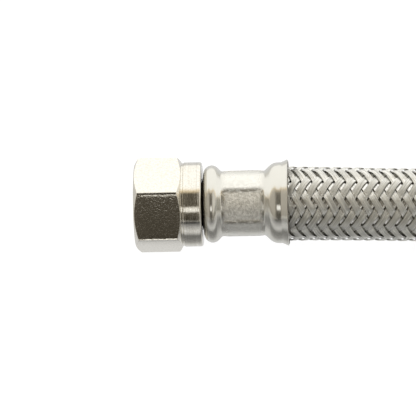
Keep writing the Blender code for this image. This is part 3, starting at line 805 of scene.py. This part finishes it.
# x, radius and the rounding's cut in millimetres, from the mouth along the outside and back through the bore
knots = [
    (0.0 * flat, (THREAD_INNER + THREAD_START) * flat, 0.06),
    (0.0 * flat, FACE_RADIUS * flat, 0.08),
    ((hex_radius - FACE_RADIUS) * CHAMFER_SLOPE, hex_radius, 0.07),
    (HEX_LENGTH - (hex_radius - GROOVE_RADIUS) * CHAMFER_SLOPE, hex_radius, 0.07),
    (HEX_LENGTH * flat, GROOVE_RADIUS * flat, 0.03),
    ((HEX_LENGTH + GROOVE_WIDTH) * flat, GROOVE_RADIUS * flat, 0.03),
    (collar_start * flat, COLLAR_RADIUS * flat, 0.05),
    (NUT_LENGTH * flat, COLLAR_RADIUS * flat, 0.45),
    (NUT_LENGTH * flat, NUT_HOLE * flat, 0.1),
    ((NUT_LENGTH - BACK_WALL) * flat, NUT_HOLE * flat, 0.05),
    ((NUT_LENGTH - BACK_WALL) * flat, RELIEF_RADIUS * flat, 0.05),
    (RELIEF_START * flat, RELIEF_RADIUS * flat, 0.05),
    (THREAD_END * flat, THREAD_INNER * flat, 0.03),
    (THREAD_START * flat, THREAD_INNER * flat, 0.03),
]
outline = np.stack([np.stack([x, radius], axis=-1) for x, radius, _ in knots])
cuts = np.array([cut for _, _, cut in knots])[:, None, None] * MM
per_knot = EDGE_STEPS + 1
turned_share = np.ones(len(knots) * per_knot)
# the flats between the chamfers are drawn, not turned, and the hole behind gets painted shade
turned_share[2 * per_knot + 2 : 4 * per_knot - 2] = 0.0
painted_shade = np.zeros_like(turned_share)
painted_shade[9 * per_knot - 1 : 10 * per_knot] = 1.0
outline = rounded(outline, cuts)
thread_x = np.linspace(THREAD_END - THREAD_MARGIN, THREAD_START + THREAD_MARGIN, THREAD_ROWS)
phase = (thread_x[:, None] / THREAD_PITCH - nut_angle[None, :] / math.tau) % 1.0
ends = np.clip(np.minimum(thread_x - THREAD_START, THREAD_END - thread_x) / THREAD_FADE, 0, 1)[:, None]
cut = np.clip(np.abs(phase - 0.5) * THREAD_RISE - THREAD_CREST, 0, 1) * ends
thread_radius = THREAD_INNER + (THREAD_OUTER - THREAD_INNER) * cut
thread = np.stack([np.repeat(thread_x[:, None], len(nut_angle), axis=1), thread_radius], axis=-1)
split_at = (len(knots) - 1) * per_knot
outline = np.concatenate([outline[:split_at], thread, outline[split_at:]])
turned_share = np.concatenate([turned_share[:split_at], np.ones(len(thread_x)), turned_share[split_at:]])
painted_shade = np.concatenate([painted_shade[:split_at], np.zeros(len(thread_x)), painted_shade[split_at:]])
attributes = {
    word: np.repeat(share[None, :].astype(float), len(nut_angle), axis=0)
    for word, share in (("lathed", turned_share), ("painted_shade", painted_shade))
}

nickel_material, finish = new_finish("nickel_plate")
place = finish.place()
lathed, painted_shade = (
    finish.node("ShaderNodeAttribute", attribute_name=word, output=2) for word in ("lathed", "painted_shade")
)
lines = finish.noise(finish.stretched(place, (2700.0, 60.0, 60.0)), 1.0, 4.0, 0.72)
grain = finish.noise(place, 2950.0, 2.0, 0.6)
tone = finish.mix(grain.spread(0.35, 0.65), (0.75, 0.72, 0.645), (0.86, 0.835, 0.765))
tone = finish.mix(lathed * lines.spread(0.4, 0.6) * 0.3, tone, (0.45, 0.43, 0.38))
# painted shade: the hole in the back wall is coloured dark
tone = finish.mix(painted_shade, tone, (0.11, 0.093, 0.067))
turning = finish.bump(lines, 0.055 * MM, 0.9)
speckle = finish.bump(grain, 0.031 * MM, 0.8)
normal = finish.node("ShaderNodeMix", {0: lathed, 4: speckle, 5: turning}, output=1, data_type="VECTOR")
finish.surface(tone, grain.spread(0.3, 0.7, 0.08, 0.15), 1.0, normal)

for end, turn in (("near", 0.0), ("far", FAR_TURN)):
    low, high = np.array(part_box(f"{end}_nut"))
    place = (low[0], (low[1] + high[1]) / 2, (low[2] + high[2]) / 2)
    points = turned_points(outline, nut_angle + turn, place)[None]
    name = f"{end}_swivel_nut"
    piece = skin(name, points, nickel_material, name, joined=True, attributes=attributes)
    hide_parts(f"{end}_nut")


# Inserts. Each is turned in brass: a nose that holds the cone washer, a flange that the nut pulls on, a neck
# that the nut turns on, and a barbed stem inside the hose, over which the ferrule is pressed.
FLANGE_FRONT = 8.8 * MM
FLANGE_BACK = 10.3 * MM
FLANGE_RADIUS = 6.2 * MM
NOSE_FRONT = 5.4 * MM
NOSE_RADIUS = 3.95 * MM
NECK_RADIUS = 4.9 * MM
NECK_BACK = 13.5 * MM
STEM_START = 14.55 * MM
STEM_END = 27.1 * MM
STEM_RADIUS = 4.1 * MM
COLLAR_IN_FERRULE = 4.4 * MM
BARB_HEIGHT = 0.3 * MM
BARB_COUNT = 3
BARB_PLACE = 0.35
BARB_SLOPE = 0.6
INSERT_BORE = 3.2 * MM
BORE_CHAMFER = 0.25 * MM
SHADE_REACH = 1.5 * MM
INSERT_STEPS = 72

knots = [
    (NOSE_FRONT, INSERT_BORE + BORE_CHAMFER, 0.1),
    (NOSE_FRONT, NOSE_RADIUS, 0.25),
    (FLANGE_FRONT, NOSE_RADIUS, 0.1),
    (FLANGE_FRONT, FLANGE_RADIUS, 0.2),
    (FLANGE_BACK, FLANGE_RADIUS, 0.2),
    (FLANGE_BACK, NECK_RADIUS, 0.1),
    (NECK_BACK, NECK_RADIUS, 0.1),
    (NECK_BACK, COLLAR_IN_FERRULE, 0.1),
    (STEM_START, COLLAR_IN_FERRULE, 0.1),
    (STEM_START, STEM_RADIUS, 0.1),
]
barb_pitch = (STEM_END - STEM_START - SHEET) / BARB_COUNT
for tip in STEM_START + (np.arange(BARB_COUNT) + BARB_PLACE) * barb_pitch:
    knots.append((tip, STEM_RADIUS, 0.05))
    knots.append((tip, STEM_RADIUS + BARB_HEIGHT, 0.05))
    knots.append((tip + BARB_SLOPE * barb_pitch, STEM_RADIUS, 0.3))
knots += [
    (STEM_END, STEM_RADIUS, 0.35),
    (STEM_END, INSERT_BORE, 0.2),
    (NOSE_FRONT + BORE_CHAMFER, INSERT_BORE, 0.1),
]
brass_material, finish = new_finish("brass")
place = finish.place()
painted_shade = finish.node("ShaderNodeAttribute", attribute_name="painted_shade", output=2)
lines = finish.noise(finish.stretched(place, (5000.0, 90.0, 90.0)), 1.0, 3.0, 0.65)
tarnish = finish.noise(place, 380.0, 4.0, 0.6)
tone = finish.mix(tarnish.spread(0.3, 0.7), (0.62, 0.45, 0.22), (0.80, 0.61, 0.33))
# painted shade: the neck's end and the stem inside the ferrule are coloured nearly black
tone = finish.mix(painted_shade, tone, (0.05, 0.04, 0.025))
rough = tarnish.spread(0.3, 0.7, 0.34, 0.2) + painted_shade * 0.4
finish.surface(tone, rough, 1.0, finish.bump(lines, 0.04 * MM, 0.6))

insert_angle = np.arange(INSERT_STEPS) * math.tau / INSERT_STEPS
outline = round_outline(knots)
# painted shade: marks the insert from just before the neck's end onwards, where the gap and ferrule shade it
painted_insert_shade = (outline[:, 0] > NECK_BACK - SHADE_REACH) * np.ones((INSERT_STEPS, 1))
for end in ("near", "far"):
    low, high = np.array(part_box(f"{end}_insert"))
    place = (low[0] - NOSE_FRONT, (low[1] + high[1]) / 2, (low[2] + high[2]) / 2)
    points = turned_points(outline, insert_angle, place)[None]
    name = f"{end}_barbed_insert"
    piece = skin(name, points, brass_material, "hose", joined=True, attributes={"painted_shade": painted_insert_shade})
    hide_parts(f"{end}_insert")


# Cone washers. Moulded in black rubber, with a cone that seals in the valve's seat, a rim against the
# insert's flange, and the mould's parting line round the rim.
WASHER_BORE = 4.1 * MM
WASHER_TIP = 4.9 * MM
WASHER_RADIUS = 6.3 * MM
WASHER_LENGTH = 3.1 * MM
WASHER_RIM = 0.9 * MM
PARTING_LINE = 0.06 * MM

rubber_material, finish = new_finish("washer_rubber")
grain = finish.noise(finish.place(), 2200.0, 4.0)
dust = finish.noise(finish.place(), 500.0, 3.0)
tone = finish.mix(dust.spread(0.45, 0.75), (0.022, 0.022, 0.022), (0.06, 0.058, 0.054))
finish.surface(tone, dust.spread(0.3, 0.7, 0.5, 0.68), 0.0, finish.bump(grain, 0.03 * MM, 0.5))

rim_middle = WASHER_LENGTH - WASHER_RIM / 2
knots = [
    (0.0, WASHER_BORE, 0.15),
    (0.0, WASHER_TIP, 0.3),
    (WASHER_LENGTH - WASHER_RIM, WASHER_RADIUS, 0.2),
    (rim_middle - PARTING_LINE, WASHER_RADIUS, 0.01),
    (rim_middle, WASHER_RADIUS + PARTING_LINE, 0.01),
    (rim_middle + PARTING_LINE, WASHER_RADIUS, 0.01),
    (WASHER_LENGTH, WASHER_RADIUS, 0.15),
    (WASHER_LENGTH, WASHER_BORE, 0.15),
]
outline = round_outline(knots)
for end in ("near", "far"):
    low, high = np.array(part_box(f"{end}_cone_washer"))
    place = (low[0], (low[1] + high[1]) / 2, (low[2] + high[2]) / 2)
    points = turned_points(outline, insert_angle, place)[None]
    piece = skin(f"{end}_sealing_cone", points, rubber_material, "hose", joined=True)
    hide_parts(f"{end}_cone_washer")


# Coil ties. White nylon cable ties hold the turns together: a toothed strap, a locking head on the coil's
# inner side, and the strap's cut tail standing out of the head.
TIE_THICKNESS = 1.05 * MM
TIE_WIDTH = 3.0 * MM
TIE_INNER = 7.45 * MM
TIE_EDGE = 0.3 * MM
TOOTH_PITCH = 1.3 * MM
TOOTH_DEPTH = 0.12 * MM
HEAD_SIZE = (4.6 * MM, 5.2 * MM, 4.2 * MM)
HEAD_EDGE = 0.7 * MM
TAIL_LENGTH = 7.5 * MM
TAIL_WIDTH = 0.85 * TIE_WIDTH
TAIL_ROWS = 24
TAIL_LEAN = math.radians(14)
TIE_STEP = 0.33 * MM
CORNER_STEPS = 3
TIES = (("first", math.radians(40)), ("second", math.radians(140)), ("third", math.radians(220)))

nylon_material, finish = new_finish("white_nylon")
place = finish.place()
grain = finish.noise(place, 1300.0, 3.0)
cloud = finish.noise(place, 160.0, 3.0)
tone = finish.mix(cloud.spread(0.3, 0.7), (0.78, 0.78, 0.74), (0.87, 0.87, 0.84))
rough = cloud.spread(0.3, 0.7, 0.32, 0.46)
moulded = finish.bump(grain, 0.03 * MM, 0.35)
let_in = {"Subsurface Weight": 0.15, "Subsurface Radius": (0.004, 0.004, 0.004)}
finish.surface(tone, rough, 0.0, moulded, **let_in)


def rounded_box(width, height, edge):
    """A ring of (across, up) points round a rectangle, its corners quarter circles."""
    corners = []
    for number, (side_x, side_y) in enumerate(((1, 1), (-1, 1), (-1, -1), (1, -1))):
        turned_by = math.pi / 2 * (number + np.linspace(0, 1, CORNER_STEPS + 1))
        middle = np.array([side_x * (width / 2 - edge), side_y * (height / 2 - edge)])
        corners.append(middle + edge * np.stack([np.cos(turned_by), np.sin(turned_by)], axis=1))
    return np.concatenate(corners)


tie_pieces = []
strap_ring = rounded_box(TIE_WIDTH, TIE_THICKNESS, TIE_EDGE)
toothed = strap_ring[:, 1] > TIE_THICKNESS / 2 - TIE_EDGE / 2
strap_middle = TIE_INNER + TIE_THICKNESS / 2
for which, angle in TIES:
    low, high = np.array(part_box(f"coil_tie_{which}"))
    bottom = low[2] + TIE_INNER + TIE_THICKNESS
    top = high[2] - TIE_INNER - TIE_THICKNESS
    outwards = np.array([math.sin(angle), math.cos(angle), 0.0])
    onwards = np.array([math.cos(angle), -math.sin(angle), 0.0])
    at = np.array([coil_centre[0], coil_centre[1], 0.0]) + outwards * coil_radius

    straight_part, bend_part = top - bottom, math.pi * strap_middle
    length = 2 * (straight_part + bend_part)
    s = np.linspace(0, length, round(length / TIE_STEP), endpoint=False)
    turned_by = np.clip((s - straight_part) / strap_middle, 0, math.pi)
    turned_by += np.clip((s - 2 * straight_part - bend_part) / strap_middle, 0, math.pi)
    climbed = np.clip(s, 0, straight_part) - np.clip(s - straight_part - bend_part, 0, straight_part)
    facing = np.cos(turned_by)[:, None] * outwards + np.sin(turned_by)[:, None] * UP
    middle = at + (0.0, 0.0, bottom) + climbed[:, None] * UP + strap_middle * facing
    tooth = TOOTH_DEPTH * (np.sin(s * math.tau / TOOTH_PITCH) > 0)
    proud = strap_ring[None, :, 1] - tooth[:, None] * toothed[None, :]
    strap = middle[:, None] + strap_ring[None, :, :1] * onwards + proud[..., None] * facing[:, None]
    name = f"tie_strap_{which}"
    tie_pieces.append(skin(name, strap[None], nylon_material, "hose", joined=True))

    along, out, up = HEAD_SIZE
    head_middle = at - outwards * (TIE_INNER + TIE_THICKNESS / 4 + out / 2) + (0.0, 0.0, (bottom + top) / 2)
    edge_turn = np.linspace(0, math.pi / 2, CORNER_STEPS + 1)
    inset, rise = HEAD_EDGE * (1 - np.sin(edge_turn)), HEAD_EDGE * (1 - np.cos(edge_turn)) - up / 2
    inset, level = np.concatenate([inset, inset[::-1]]), np.concatenate([rise, -rise[::-1]])
    rings = np.stack([rounded_box(along - 2 * i, out - 2 * i, HEAD_EDGE) for i in inset])
    head = head_middle + rings[..., :1] * onwards + rings[..., 1:] * outwards
    head = head + level[:, None, None] * UP
    tie_pieces.append(skin(f"tie_head_{which}", head[None], nylon_material, "hose"))

    t = np.linspace(0, TAIL_LENGTH, TAIL_ROWS)[:, None, None]
    tail_ring = rounded_box(TAIL_WIDTH, TIE_THICKNESS, TIE_EDGE)
    tooth = TOOTH_DEPTH * (np.sin(t * math.tau / TOOTH_PITCH) > 0) * (tail_ring[:, 1:] > 0)
    leaning = math.cos(TAIL_LEAN) * UP - math.sin(TAIL_LEAN) * outwards
    thick = math.cos(TAIL_LEAN) * outwards + math.sin(TAIL_LEAN) * UP
    cut_tail = head_middle + t * leaning + tail_ring[:, :1] * onwards + (tail_ring[:, 1:] - tooth) * thick
    tie_pieces.append(skin(f"tie_tail_{which}", cut_tail[None], nylon_material, "hose"))
    for piece in tie_pieces[-3:]:
        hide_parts(f"coil_tie_{which}")
